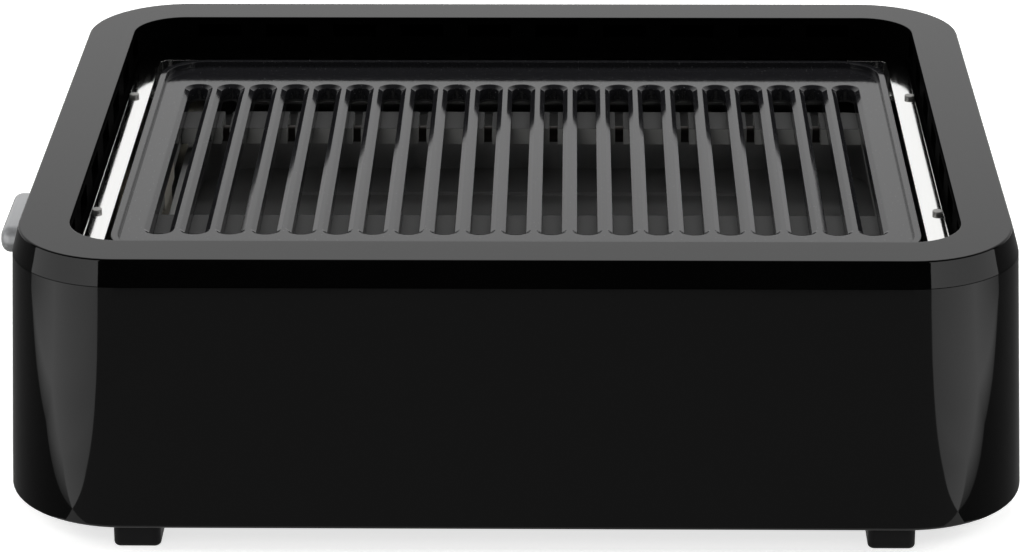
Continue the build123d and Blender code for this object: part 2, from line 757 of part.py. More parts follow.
with BuildPart() as fan_impeller:
    with BuildSketch(level(impeller_bottom)):
        Circle(impeller_diameter / 2)
    extrude(amount=impeller_disc)
    with BuildSketch(level(impeller_bottom)):
        with PolarLocations(0, blade_count):
            with BuildLine():
                tip_angle = radians(blade_sweep)
                root = (blade_inner_radius, 0)
                tip = (blade_outer_radius * cos(tip_angle), blade_outer_radius * sin(tip_angle))
                back_x = -blade_thickness * sin(tip_angle)
                back_y = blade_thickness * cos(tip_angle)
                tip_back = (tip[0] + back_x, tip[1] + back_y)
                root_back = (blade_inner_radius, blade_thickness)
                RadiusArc(root, tip, blade_bend_radius)
                Line(tip, tip_back)
                RadiusArc(tip_back, root_back, -blade_bend_radius)
                Line(root_back, root)
            make_face()
        Circle(hub_diameter / 2)
    extrude(amount=impeller_height)
    with BuildSketch(level(impeller_top - impeller_disc)):
        Circle(impeller_diameter / 2)
        Circle(inlet_radius + impeller_gap, mode=Mode.SUBTRACT)
    extrude(amount=impeller_disc)
    with BuildSketch(level(impeller_bottom)):
        Circle(fan_shaft_diameter / 2 + running_gap)
    extrude(amount=impeller_height, mode=Mode.SUBTRACT)

with BuildPart() as fan_shroud:
    with BuildSketch(level(base_plate_top)):
        Circle(shroud_radius)
        with PolarLocations(shroud_ear_radius, shroud_ear_count):
            Circle(leg_width / 2)
        Circle(shroud_radius - shroud_sheet, mode=Mode.SUBTRACT)
        with Locations(*ear_places):
            Circle(bracket_pilot_radius, mode=Mode.SUBTRACT)
    extrude(amount=shroud_sheet)
    with BuildSketch(level(base_plate_top)):
        Circle(shroud_radius)
        Circle(shroud_radius - shroud_sheet, mode=Mode.SUBTRACT)
    extrude(amount=shroud_top - base_plate_top)
    with BuildSketch(level(shroud_top - shroud_sheet)):
        Circle(shroud_radius)
        Circle(inlet_radius, mode=Mode.SUBTRACT)
    extrude(amount=shroud_sheet)

bracket_screws = screw(
    [*leg_places, *ear_places], foot_height, bracket_screw_head, bracket_screw_head_height,
    bracket_screw_diameter, plate_thickness + shroud_sheet + overrun, up=True,
)
tie_seat = foot_height + plate_thickness / 2
tie_screws = screw(
    corner_places, tie_seat, screw_head_diameter, plate_thickness / 2 - fit_gap, screw_diameter,
    pillar_split + tie_grip - tie_seat, up=True,
)

# Cord gland in the rear wall, the terminal block and the thermal cut-out
gland_bore = 7.0
gland_flange_diameter = 17.0
gland_flange = 2.0
gland_depth = 10.0
block_length = 36.0
block_width = 16.0
block_height = 14.0
block_side_inset = 98.0
block_rear_inset = 58.5
block_x = rim_length / 2 - block_side_inset
block_y = rim_depth / 2 - block_rear_inset
block_bores = 3
block_bore_diameter = 4.0
cutout_side_inset = 108.0
cutout_x = cutout_side_inset - rim_length / 2
cutout_diameter = 13.0
cutout_height = 5.0
cutout_ear_length = 24.0
cutout_ear_width = 7.0

with BuildPart() as cord_gland:
    with BuildSketch(gland_plane):
        Circle(gland_flange_diameter / 2)
    extrude(amount=gland_flange)
    with BuildSketch(gland_plane):
        Circle(gland_diameter / 2)
    extrude(amount=-gland_depth)
    with BuildSketch(gland_plane.offset(gland_flange)):
        Circle(gland_bore / 2)
    extrude(amount=-(gland_depth + gland_flange), mode=Mode.SUBTRACT)

with BuildPart() as terminal_block:
    with Locations(Plane((body_x + block_x, block_y, base_plate_top))):
        Box(block_length, block_width, block_height, align=(Align.CENTER, Align.CENTER, Align.MIN))
    with BuildSketch(Plane((body_x + block_x, block_y, base_plate_top + block_height / 2), z_dir=(0, 1, 0))):
        with GridLocations(block_length / block_bores, 0, block_bores, 1):
            Circle(block_bore_diameter / 2)
    extrude(amount=block_width, both=True, mode=Mode.SUBTRACT)

with BuildPart() as thermal_cutout:
    with BuildSketch(level(liner_bottom)):
        with Locations((cutout_x, 0)):
            SlotOverall(cutout_ear_length, cutout_ear_width)
    extrude(amount=-bracket_sheet)
    with BuildSketch(level(liner_bottom)):
        with Locations((cutout_x, 0)):
            Circle(cutout_diameter / 2)
    extrude(amount=-cutout_height)

pieces = {
    "top_frame": top_frame,
    "lower_housing": lower_housing,
    "bottom_plate": bottom_plate,
    **feet,
    "liner": liner,
    "liner_screws": liner_screws,
    "tie_screws": tie_screws,
    "grill_plate": grill_plate,
    "heating_element": heating_element,
    "element_clips": element_clips,
    "terminal_holder": terminal_holder,
    "terminal_pins": terminal_pins,
    "terminal_socket": terminal_socket,
    "drip_tray": drip_tray,
    "thermostat_bracket": thermostat_bracket,
    "thermostat_body": thermostat_body,
    "thermostat_shaft": thermostat_shaft,
    "bush_nut": bush_nut,
    "control_knob": control_knob,
    "motor_bracket": motor_bracket,
    "fan_motor": fan_motor,
    "fan_shaft": fan_shaft,
    "fan_impeller": fan_impeller,
    "fan_shroud": fan_shroud,
    "bracket_screws": bracket_screws,
    "cord_gland": cord_gland,
    "terminal_block": terminal_block,
    "thermal_cutout": thermal_cutout,
}
for node, builder in pieces.items():
    write_piece(builder, node)
    print(node, builder.part.is_valid, round(builder.part.volume, 1))
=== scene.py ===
# %% [markdown]
# # Dressing a table-top electric grill
# The packed CAD model is the frame: every solid comes in as one object, in metres and already in place.
# Nearly all shapes are right as they are, so this lesson leaves them alone. It gives each piece a
# finish made of shader nodes, remakes the knob, adds the liner's rolled edge, then builds the floor,
# the light and the camera.

# %% Load the frame
import json
from math import cos, pi, radians, sin

import bmesh
import bpy
from mathutils import Matrix, Vector


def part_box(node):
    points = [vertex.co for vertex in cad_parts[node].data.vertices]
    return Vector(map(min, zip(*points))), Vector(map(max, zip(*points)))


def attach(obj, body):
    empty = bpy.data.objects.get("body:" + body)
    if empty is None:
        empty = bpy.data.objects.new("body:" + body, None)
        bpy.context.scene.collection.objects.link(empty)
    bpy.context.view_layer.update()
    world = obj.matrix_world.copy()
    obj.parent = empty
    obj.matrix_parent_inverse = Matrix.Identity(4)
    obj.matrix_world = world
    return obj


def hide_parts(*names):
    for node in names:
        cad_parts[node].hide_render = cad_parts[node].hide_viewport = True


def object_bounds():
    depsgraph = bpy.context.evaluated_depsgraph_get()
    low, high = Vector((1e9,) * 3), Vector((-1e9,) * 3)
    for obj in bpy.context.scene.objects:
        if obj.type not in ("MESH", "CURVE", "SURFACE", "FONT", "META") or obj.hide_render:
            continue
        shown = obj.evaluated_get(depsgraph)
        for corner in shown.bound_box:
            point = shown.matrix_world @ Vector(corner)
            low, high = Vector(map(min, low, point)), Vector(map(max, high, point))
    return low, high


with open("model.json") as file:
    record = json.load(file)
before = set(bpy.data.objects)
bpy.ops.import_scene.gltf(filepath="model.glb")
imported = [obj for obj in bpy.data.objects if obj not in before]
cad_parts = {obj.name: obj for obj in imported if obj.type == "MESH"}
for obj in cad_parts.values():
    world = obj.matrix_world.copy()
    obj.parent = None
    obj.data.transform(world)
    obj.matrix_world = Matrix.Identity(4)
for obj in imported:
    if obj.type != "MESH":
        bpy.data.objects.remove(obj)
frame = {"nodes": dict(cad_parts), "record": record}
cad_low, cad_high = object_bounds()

pieces = frame["nodes"]
slot_of = {part["node"]: part["material_slot"] for part in frame["record"]["subparts"]}
print("pieces:", len(pieces), "finishes:", len(set(slot_of.values())))

# %% [markdown]
# ## Tools for the finishes
# A colour is easiest to read as the hex value that a paint program shows, but a shader wants linear
# light. One function turns the first into the second. Another adds a node, sets it and links it, which
# keeps each finish short enough to read as a recipe. Patterns are sized in millimetres: a noise of
# scale 1 has one lump per metre, so a lump of 4 mm needs a scale of 1000 / 4.

# %% Colour, node and pattern helpers
millimetre = 0.001


def linear(hex_colour):
    """The linear colour of an sRGB hex value."""
    channels = [int(hex_colour[start:start + 2], 16) / 255 for start in (1, 3, 5)]
    return (*[((c + 0.055) / 1.055) ** 2.4 if c > 0.04045 else c / 12.92 for c in channels], 1)


def add_node(tree, kind, links=None, **settings):
    """Add a node, set its properties, and set or link its inputs by name or number."""
    node = tree.nodes.new(kind)
    for name, value in settings.items():
        setattr(node, name, value)
    for socket, value in (links or {}).items():
        if isinstance(value, bpy.types.NodeSocket):
            tree.links.new(value, node.inputs[socket])
        else:
            node.inputs[socket].default_value = value
    return node


def lumps_per_metre(size_mm):
    """The pattern scale that makes each lump about this size."""
    return 1 / (size_mm * millimetre)


print("black plastic in linear light:", [round(c, 4) for c in linear("#0c0c0d")])

# %% [markdown]
# ## One recipe for a surface that varies
# No made surface is even. Moulded plastic, rolled sheet and castings all drift a little in colour and
# gloss, and have a faint relief. One noise drives all three here: it mixes two near colours, moves the
# roughness between two values and lifts the surface by a few hundredths of a millimetre. A stretch
# draws the lumps out into lines, which is what brushing and turning leave. Cast and pressed edges are
# never quite sharp: where an edge size is given, the shading is rounded over it, and the edge catches a
# line of light.

# %% The shared recipe
noise_detail = 3.0
noise_low = 0.3
noise_high = 0.7
edge_samples = 4


def surface(name, colours, lump_mm, roughness, relief_mm, stretch=(1, 1, 1), edge_mm=0.0, **sockets):
    """A material whose colour, gloss and relief follow one noise; other sockets are set as given."""
    material = bpy.data.materials.new(name)
    material.use_nodes = True
    tree = material.node_tree
    shader = tree.nodes["Principled BSDF"]
    place = add_node(tree, "ShaderNodeTexCoord").outputs["Object"]
    drawn_out = add_node(tree, "ShaderNodeMapping", {"Vector": place, "Scale": stretch})
    noise = add_node(tree, "ShaderNodeTexNoise", {
        "Vector": drawn_out.outputs["Vector"],
        "Scale": lumps_per_metre(lump_mm),
        "Detail": noise_detail,
    })
    lump = noise.outputs["Fac"]
    colour = add_node(tree, "ShaderNodeMix", {
        "Factor": lump,
        "A": linear(colours[0]),
        "B": linear(colours[1]),
    }, data_type="RGBA")
    gloss = add_node(tree, "ShaderNodeMapRange", {
        "Value": lump,
        "From Min": noise_low,
        "From Max": noise_high,
        "To Min": roughness[0],
        "To Max": roughness[1],
    })
    relief = add_node(tree, "ShaderNodeBump", {
        "Height": lump,
        "Strength": 1.0,
        "Distance": relief_mm * millimetre,
    })
    if edge_mm:
        rounded = add_node(tree, "ShaderNodeBevel", {"Radius": edge_mm * millimetre}, samples=edge_samples)
        tree.links.new(rounded.outputs["Normal"], relief.inputs["Normal"])
    tree.links.new(colour.outputs["Result"], shader.inputs["Base Color"])
    tree.links.new(gloss.outputs["Result"], shader.inputs["Roughness"])
    tree.links.new(relief.outputs["Normal"], shader.inputs["Normal"])
    for socket, value in sockets.items():
        shader.inputs[socket.replace("_", " ")].default_value = value
    return material


finishes = {}
print("recipe:", surface.__doc__)

# %% [markdown]
# ## The black housing
# The housing and the frame on it are moulded in black ABS against polished steel, so they come out of
# the mould with a high gloss. The eye reads that gloss from two things: a clear picture of the bright
# room behind on every face that looks up, and almost nothing on the faces that look at the viewer. The
# long, very shallow ripple of moulded walls bends those pictures slightly. Only the frame's walls round
# the well are matt. They are the faces that look inward, so a face's direction set against its place
# finds them.

# %% Gloss black plastic
gloss_ior = 1.3
matt_ior = 1.015
matt_roughness = 0.6
inward_limit = -0.05

finishes["housing_black"] = surface(
    "gloss_black_abs", ("#040404", "#070707"), 45, (0.04, 0.06), 0.01, IOR=gloss_ior)
finishes["frame_black"] = surface(
    "gloss_black_abs_frame", ("#030303", "#050505"), 45, (0.04, 0.06), 0.01)
tree = finishes["frame_black"].node_tree
shader = tree.nodes["Principled BSDF"]
well_low, well_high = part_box("liner")
spot = add_node(tree, "ShaderNodeNewGeometry")
offset = add_node(tree, "ShaderNodeVectorMath", {
    0: spot.outputs["Position"],
    1: (well_low + well_high) / 2,
}, operation="SUBTRACT")
outward = add_node(tree, "ShaderNodeVectorMath", {
    0: spot.outputs["Normal"],
    1: offset.outputs["Vector"],
}, operation="DOT_PRODUCT")
inward = add_node(tree, "ShaderNodeMath", {
    0: outward.outputs["Value"],
    1: inward_limit,
}, operation="LESS_THAN")
for socket, outside, inside in (
    ("Roughness", shader.inputs["Roughness"].links[0].from_socket, matt_roughness),
    ("IOR", gloss_ior, matt_ior),
):
    split = add_node(tree, "ShaderNodeMix", {
        "Factor": inward.outputs["Value"],
        "A": outside,
        "B": inside,
    }, data_type="FLOAT")
    tree.links.new(split.outputs["Result"], shader.inputs[socket])
print("black plastics:", finishes["housing_black"].name, finishes["frame_black"].name)

# %% [markdown]
# ## The cast plate
# The plate is die-cast aluminium under a sprayed non-stick coat. The coat levels out to a soft gloss,
# so it mirrors the room like the rim does, only blurred. Sprayed coats of this kind hold fine mica, and
# each flake shows as a speck. The flakes are finer than a pixel, so they are drawn about half a
# millimetre wide. Little of the spray reaches the cast bosses below the bars. Their tops are a rough
# dark grey. Their upright sides lie in the plate's shade, and their much paler grey is painted light.

# %% Non-stick coat with mica specks
lip_mm = 2.5
bar_mm = 7.0
boss_mm = 8.1
flake_mm = 2.4
flake_core = 0.07
flake_edge = 0.12
cast_roughness = 0.65
upright_limit = 0.5

coat = surface(
    "sprayed_nonstick_coat", ("#18181a", "#202022"), 1.6, (0.04, 0.08), 0.001, edge_mm=0.5, IOR=1.46)
tree = coat.node_tree
shader = tree.nodes["Principled BSDF"]
flakes = add_node(tree, "ShaderNodeTexVoronoi", {
    "Vector": tree.nodes["Texture Coordinate"].outputs["Object"],
    "Scale": lumps_per_metre(flake_mm),
})
speck = add_node(tree, "ShaderNodeMapRange", {
    "Value": flakes.outputs["Distance"],
    "From Min": flake_core,
    "From Max": flake_edge,
    "To Min": 1.0,
    "To Max": 0.0,
})
speckled = add_node(tree, "ShaderNodeMix", {
    "Factor": speck.outputs["Result"],
    "A": shader.inputs["Base Color"].links[0].from_socket,
    "B": linear("#5a5a5c"),
}, data_type="RGBA")
plate_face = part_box("grill_plate")[1].z - lip_mm * millimetre
height = add_node(tree, "ShaderNodeSeparateXYZ", {
    "Vector": tree.nodes["Texture Coordinate"].outputs["Object"],
})
bare = add_node(tree, "ShaderNodeMath", {
    0: height.outputs["Z"],
    1: plate_face - bar_mm * millimetre,
}, operation="LESS_THAN")
below_slab = add_node(tree, "ShaderNodeMath", {
    0: height.outputs["Z"],
    1: plate_face - boss_mm * millimetre,
}, operation="LESS_THAN")
facing = add_node(tree, "ShaderNodeSeparateXYZ", {
    "Vector": add_node(tree, "ShaderNodeNewGeometry").outputs["Normal"],
})
upright = add_node(tree, "ShaderNodeMath", {
    0: facing.outputs["Z"],
    1: upright_limit,
}, operation="LESS_THAN")
# Painted light: upright faces below the slab are marked here to get a paler grey that brightens them in
# the plate's shade
painted_light_boss_side = add_node(tree, "ShaderNodeMath", {
    0: below_slab.outputs["Value"],
    1: upright.outputs["Value"],
}, operation="MULTIPLY")
# Rough dark grey on the boss tops; the much paler grey on their shaded upright sides is painted light
cast_colour_painted_light_sides = add_node(tree, "ShaderNodeMix", {
    "Factor": painted_light_boss_side.outputs["Value"],
    "A": linear("#343434"),
    "B": linear("#9e9e9c"),
}, data_type="RGBA")
for socket, kind, coated, cast in (
    ("Base Color", "RGBA", speckled.outputs["Result"], cast_colour_painted_light_sides.outputs["Result"]),
    ("Roughness", "FLOAT", shader.inputs["Roughness"].links[0].from_socket, cast_roughness),
):
    split = add_node(tree, "ShaderNodeMix", {
        "Factor": bare.outputs["Value"],
        "A": coated,
        "B": cast,
    }, data_type=kind)
    tree.links.new(split.outputs["Result"], shader.inputs[socket])
finishes["coated_cast"] = coat
print("plate:", coat.name)

# %% [markdown]
# ## Bright metals
# The liner is stainless sheet with a mirror polish. Polishing wheels leave fine lines, so the noise is
# drawn out along the sheet's length. A metal's colour is its reflection colour, its IOR stays at the
# default, and the polish shows as low roughness. Screws are plated and a little duller. The shafts are
# turned, which leaves rings, so their noise is short along the axis only.

# %% Steel, plating and brass
finishes["polished_steel"] = surface(
    "polished_stainless", ("#f0f0ee", "#f8f8f7"), 1.5, (0.05, 0.1), 0.002, stretch=(1, 0.05, 1),
    edge_mm=0.4, Metallic=1.0)
finishes["screw_steel"] = surface(
    "nickel_plated_screw", ("#b6b5b2", "#c4c3c0"), 0.8, (0.4, 0.5), 0.004, edge_mm=0.6, Metallic=0.8)
finishes["shaft_steel"] = surface(
    "turned_steel", ("#a4a4a2", "#bcbcb9"), 0.5, (0.2, 0.35), 0.004, stretch=(1, 0.1, 0.1), Metallic=1.0)
finishes["pin_brass"] = surface(
    "plated_brass", ("#b7944a", "#cdb06a"), 0.7, (0.2, 0.34), 0.003, Metallic=1.0)
print("finishes so far:", len(finishes))

# %% [markdown]
# ## Metals that have worked
# The heater's tube is drawn steel that heat has tinted brown and blue-grey in patches. The tray is
# pressed sheet with a baked grey coat. The brackets and the shroud are zinc-plated sheet, whose
# crystals, called spangle, show as flat patches with straight edges. A Voronoi pattern is made of just
# such patches, so it drives their gloss.

# %% Heat-tinted tube, coated tray and motor can
finishes["element_steel"] = surface(
    "heat_tinted_steel", ("#332e2b", "#44413f"), 9, (0.38, 0.55), 0.01, Metallic=1.0)
finishes["tray_metal"] = surface(
    "baked_grey_coat", ("#909090", "#9c9c9b"), 2.2, (0.3, 0.42), 0.01)
finishes["motor_can"] = surface(
    "drawn_motor_can", ("#8f9193", "#a5a7a9"), 1.2, (0.28, 0.4), 0.004, stretch=(1, 1, 0.1), Metallic=1.0)
print("finishes so far:", len(finishes))

# %% Zinc spangle
spangle_mm = 7
spangle_roughness = (0.22, 0.42)

zinc = surface("zinc_plated_sheet", ("#a2a5a7", "#b9bbbc"), 6, (0.25, 0.35), 0.003, Metallic=1.0)
tree = zinc.node_tree
shader = tree.nodes["Principled BSDF"]
crystals = add_node(tree, "ShaderNodeTexVoronoi", {
    "Vector": tree.nodes["Texture Coordinate"].outputs["Object"],
    "Scale": lumps_per_metre(spangle_mm),
})
patch = add_node(tree, "ShaderNodeSeparateColor", {"Color": crystals.outputs["Color"]})
patch_gloss = add_node(tree, "ShaderNodeMapRange", {
    "Value": patch.outputs["Red"],
    "To Min": spangle_roughness[0],
    "To Max": spangle_roughness[1],
})
tree.links.new(patch_gloss.outputs["Result"], shader.inputs["Roughness"])
finishes["zinc_sheet"] = zinc
print("spangled sheet:", zinc.name)

# %% [markdown]
# ## The knob
# The knob is moulded and then sprayed with a silver-grey lacquer. Fine metal flake in the lacquer makes
# it brighten towards the light, and a thin clear coat gives a sharper highlight on top.

# %% Silver lacquer
finishes["knob_grey"] = surface(
    "silver_lacquer", ("#a2a3a5", "#acadaf"), 0.6, (0.3, 0.4), 0.002, Metallic=0.15, Coat_Weight=0.3,
    Coat_Roughness=0.1)
print("knob:", finishes["knob_grey"].name)

# %% [markdown]
# ## Plastics, rubber and ceramic
# The base plate and the fan are moulded against a spark-eroded mould, which leaves a fine, even grain
# and a matt look. Rubber is matt because its surface is soft and slightly rough. The thermostat's case
# is pressed phenolic, and the terminal holder is fired ceramic, whose pale body is a little uneven.

# %% Matt pieces
finishes["base_black"] = surface(
    "grained_black_plastic", ("#141415", "#1a1a1b"), 0.9, (0.45, 0.6), 0.03)
finishes["foot_rubber"] = surface(
    "black_rubber", ("#0a0a0b", "#0f0f10"), 0.7, (0.5, 0.65), 0.02, IOR=1.22)
finishes["fan_plastic"] = surface(
    "glass_filled_nylon", ("#1c1c1e", "#262628"), 1.1, (0.4, 0.55), 0.02)
finishes["thermostat_case"] = surface(
    "pressed_phenolic", ("#2a2522", "#342e2a"), 2.5, (0.45, 0.6), 0.02)
finishes["ceramic"] = surface(
    "fired_ceramic", ("#ded8ca", "#e9e4d8"), 3.0, (0.5, 0.65), 0.02)
print("all finishes:", len(finishes))

# %% [markdown]
# ## Put the finishes on
# The record says which finish each piece takes. Every piece gets exactly one material, in its first
# slot.

# %% Assign by slot
for name, piece in pieces.items():
    piece.data.materials.clear()
    piece.data.materials.append(finishes[slot_of[name]])
print("dressed:", len(pieces))

# %% [markdown]
# ## The knob's form
# Past the housing's edge only the knob's bar shows, and nothing of its dial. The solid's dial is wider
# than that allows, so a piece with a small dial stands in for it, on the same axis and the same back.
# Its bar reaches further to the front, where the pointer is. Both are built from rings of points: each
# ring is a circle, or a slot when its two halves are drawn apart, and rings with equal counts join into
# bands of faces.

# %% Rings and bands
ring_count = 64
knob_low, knob_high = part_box("control_knob")
knob_height = (knob_low.z + knob_high.z) / 2


def ring(depth, radius, front=0.0, rear=0.0):
    """Points round the knob's axis, in millimetres before its back; front and rear part the halves."""
    points = []
    for turn in range(ring_count):
        angle = 2 * pi * (turn + 0.5) / ring_count
        shift = rear if cos(angle) > 0 else -front
        points.append((
            knob_high.x - depth * millimetre,
            (shift + radius * cos(angle)) * millimetre,
            knob_height + radius * sin(angle) * millimetre,
        ))
    return points


def shell(form, rings, looped, material_number=0):
    """Join rings into a closed shell: looped back to the first ring, or capped at both ends."""
    rows = [[form.verts.new(point) for point in points] for points in rings]
    pairs = list(zip(rows, rows[1:]))
    if looped:
        pairs.append((rows[-1], rows[0]))
    faces = [
        form.faces.new((low[turn - 1], low[turn], high[turn], high[turn - 1]))
        for low, high in pairs for turn in range(len(low))
    ]
    if not looped:
        faces += [form.faces.new(rows[0]), form.faces.new(rows[-1])]
    for face in faces:
        face.smooth = True
        face.material_index = material_number


def add_piece(name, form, materials):
    """Turn a finished form into an object in the scene."""
    bmesh.ops.recalc_face_normals(form, faces=form.faces)
    mesh = bpy.data.meshes.new(name)
    form.to_mesh(mesh)
    form.free()
    for material in materials:
        mesh.materials.append(material)
    piece = bpy.data.objects.new(name, mesh)
    bpy.context.scene.collection.objects.link(piece)
    print(name, "faces:", len(mesh.polygons))
    return piece


print("knob axis at a height of", round(knob_height, 4))

# %% Dial, bar and pointer
# Sizes in millimetres; depths run from the knob's back towards the hand
bore_radius = 3.1
bore_end = 15.0
dial_radius = 19.0
dial_depth = 4.0
dial_wall = 3.0
dial_edge = 1.0
recess_depth = 2.4
bar_depth = 17.5
bar_half = 6.5
bar_edge = 4.5
bar_front = 25.3
bar_rear = 15.5
bar_sunk = 0.5
pointer_half = 0.7
pointer_ends = (24.6, -12.0)
pointer_rise = 0.15
edge_steps = 8
sharp_angle = radians(40)

knob_form = bmesh.new()
quarter = [pi / 2 * step / edge_steps for step in range(edge_steps + 1)]
dial_rings = [ring(recess_depth, bore_radius), ring(dial_depth, bore_radius)]
for angle in reversed(quarter):
    corner = dial_edge * (1 - sin(angle))
    dial_rings.append(ring(dial_depth - corner, dial_radius - dial_edge * (1 - cos(angle))))
dial_inner = dial_radius - dial_wall
dial_rings += [ring(0, dial_radius), ring(0, dial_inner), ring(recess_depth, dial_inner)]
shell(knob_form, dial_rings, looped=True)
bar_back = dial_depth - bar_sunk
bar_rings = [
    ring(bore_end, bore_radius),
    ring(bar_back, bore_radius),
    ring(bar_back, bar_half, bar_front, bar_rear),
]
for angle in quarter:
    depth = bar_depth - bar_edge * (1 - sin(angle))
    bar_rings.append(ring(depth, bar_half - bar_edge * (1 - cos(angle)), bar_front, bar_rear))
shell(knob_form, bar_rings, looped=False)
pointer_rings = [
    ring(depth, pointer_half, *pointer_ends) for depth in (bar_depth - bar_sunk, bar_depth + pointer_rise)
]
shell(knob_form, pointer_rings, looped=False, material_number=1)
knob_finishes = [finishes["knob_grey"], finishes["base_black"]]
knob = add_piece("knob_with_bar_grip", knob_form, knob_finishes)
knob.data.set_sharp_from_angle(angle=sharp_angle)
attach(knob, "knob")
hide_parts("control_knob")

# %% [markdown]
# ## The liner's rolled edge
# A cut sheet edge is sharp, so the liner's flange ends in a small roll at the sides and the front. It
# is thinner than a pixel, yet it shows: some part of a round, polished edge always turns towards the
# light. The roll is a row of small rings that runs down the left side, round the two front corners and
# up the right side.

# %% Rolled edge
roll_radius = 0.4
roll_lift = -0.1
flange_corner_radius = 21.5
corner_steps = 12
roll_count = 12

flange_low, flange_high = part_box("liner")
corner_inset = flange_corner_radius * millimetre
left_x = flange_low.x + corner_inset
right_x = flange_high.x - corner_inset
front_y = flange_low.y + corner_inset
rear_y = flange_high.y - corner_inset
quarter_turns = [pi / 2 * step / corner_steps for step in range(corner_steps + 1)]
roll_path = [
    (left_x, rear_y, pi),
    *[(left_x, front_y, pi + turn) for turn in quarter_turns],
    *[(right_x, front_y, 3 * pi / 2 + turn) for turn in quarter_turns],
    (right_x, rear_y, 2 * pi),
]
roll_rings = []
for corner_x, corner_y, heading in roll_path:
    points = []
    for turn in range(roll_count):
        angle = 2 * pi * turn / roll_count
        reach = (flange_corner_radius + roll_radius * cos(angle)) * millimetre
        rise = (roll_lift + roll_radius * sin(angle)) * millimetre
        points.append((
            corner_x + reach * cos(heading),
            corner_y + reach * sin(heading),
            flange_high.z + rise,
        ))
    roll_rings.append(points)
roll_form = bmesh.new()
shell(roll_form, roll_rings, looped=False)
roll = add_piece("liner_rolled_edge", roll_form, [finishes["polished_steel"]])
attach(roll, "base")

# %% [markdown]
# ## The floor
# The grill stands on a plain white table in a bright studio. The table has to look white to the viewer
# and in the gloss of the housing without throwing more light on the object, so its glow answers only
# camera, glossy and see-through rays. Lamps still light the table as a plain pale board, which keeps
# the grill's shadow. From below the table is clear, so the base can be looked at too. Its front edge
# lies a little way off: the top of the housing's front mirrors the dark room beyond it.

# %% White table
table_half_width = 3.0
table_front = -0.59
table_rear = 3.0
table_glow = 0.72

table_mesh = bpy.data.meshes.new("table")
table_mesh.from_pydata([
    (-table_half_width, table_front, 0),
    (table_half_width, table_front, 0),
    (table_half_width, table_rear, 0),
    (-table_half_width, table_rear, 0),
], [], [(0, 1, 2, 3)])
table = bpy.data.objects.new("table", table_mesh)
bpy.context.scene.collection.objects.link(table)

white_board = bpy.data.materials.new("white_laminate")
white_board.use_nodes = True
tree = white_board.node_tree
ray = add_node(tree, "ShaderNodeLightPath")
seen_or_mirrored = add_node(tree, "ShaderNodeMath", {
    0: ray.outputs["Is Camera Ray"],
    1: ray.outputs["Is Glossy Ray"],
}, operation="MAXIMUM")
any_view = add_node(tree, "ShaderNodeMath", {
    0: seen_or_mirrored.outputs["Value"],
    1: ray.outputs["Is Transmission Ray"],
}, operation="MAXIMUM")
glow_level = add_node(tree, "ShaderNodeMath", {
    0: any_view.outputs["Value"],
    1: table_glow,
}, operation="MULTIPLY")
board = tree.nodes["Principled BSDF"]
board.inputs["Base Color"].default_value = linear("#e9e9e7")
board.inputs["Roughness"].default_value = 0.9
board.inputs["Specular IOR Level"].default_value = 0.1
board.inputs["Emission Color"].default_value = (1, 1, 1, 1)
tree.links.new(glow_level.outputs["Value"], board.inputs["Emission Strength"])
one_sided = add_node(tree, "ShaderNodeMixShader", {
    0: add_node(tree, "ShaderNodeNewGeometry").outputs["Backfacing"],
    1: board.outputs["BSDF"],
    2: add_node(tree, "ShaderNodeBsdfTransparent").outputs["BSDF"],
})
tree.links.new(one_sided.outputs["Shader"], tree.nodes["Material Output"].inputs["Surface"])
table_mesh.materials.append(white_board)
print("table front edge at", table_front)

# %% [markdown]
# ## Cards on the table
# Gloss black shows nothing but what it mirrors, and upright walls seen from above mirror the table. A
# photographer shapes that with cards laid round the object, just out of the picture: grey in front
# keeps the front quiet, dark beside it draws the edges, and bright ones at the two front corners make
# the light streaks that show how the corners turn, fading towards both sides. A bright fence stands
# behind each, for the skirt, whose lean makes it mirror what is higher up. Here the cards answer glossy
# rays only, so they light and shade nothing.

# %% Grey, dark and bright cards
card_lift = 0.0005
middle_x = (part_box("lower_housing")[0].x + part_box("lower_housing")[1].x) / 2
corner_foot = (0.231, -0.207)
streak_inner = [(0.253, -0.265), (0.283, -0.37), (0.342, table_front)]
streak_outer = [(0.354, -0.185), (0.53, -0.075)]
card_reach = 0.9
fence_outer = (0.9, -0.03)
fence_height = 0.4
grey_glow = 0.38
dark_glow = 0.13
streak_glow = (0.6, 2.5, 1.9)
fence_glow = (2.7, 1.6, 1.6, 2.7)

card_paper = bpy.data.materials.new("glowing_card")
card_paper.use_nodes = True
tree = card_paper.node_tree
paper = tree.nodes["Principled BSDF"]
paper.inputs["Base Color"].default_value = (0, 0, 0, 1)
paper.inputs["Specular IOR Level"].default_value = 0
paper.inputs["Emission Color"].default_value = (1, 1, 1, 1)
corner_glow = add_node(tree, "ShaderNodeAttribute", attribute_name="glow")
tree.links.new(corner_glow.outputs["Fac"], paper.inputs["Emission Strength"])


def card(name, corners, faces, glow):
    """A card that shows only in gloss, with a level of glow at each corner."""
    mesh = bpy.data.meshes.new(name)
    mesh.from_pydata(corners, [], faces)
    mesh.attributes.new("glow", "FLOAT", "POINT").data.foreach_set("value", glow)
    mesh.materials.append(card_paper)
    sheet = bpy.data.objects.new(name, mesh)
    for sight in ("camera", "diffuse", "transmission", "volume_scatter", "shadow"):
        setattr(sheet, "visible_" + sight, False)
    bpy.context.scene.collection.objects.link(sheet)


def laid(side, points, height=card_lift):
    """Points given from the grill's middle, put on one side of it at a height."""
    return [(middle_x + side * x, y, height) for x, y in points]


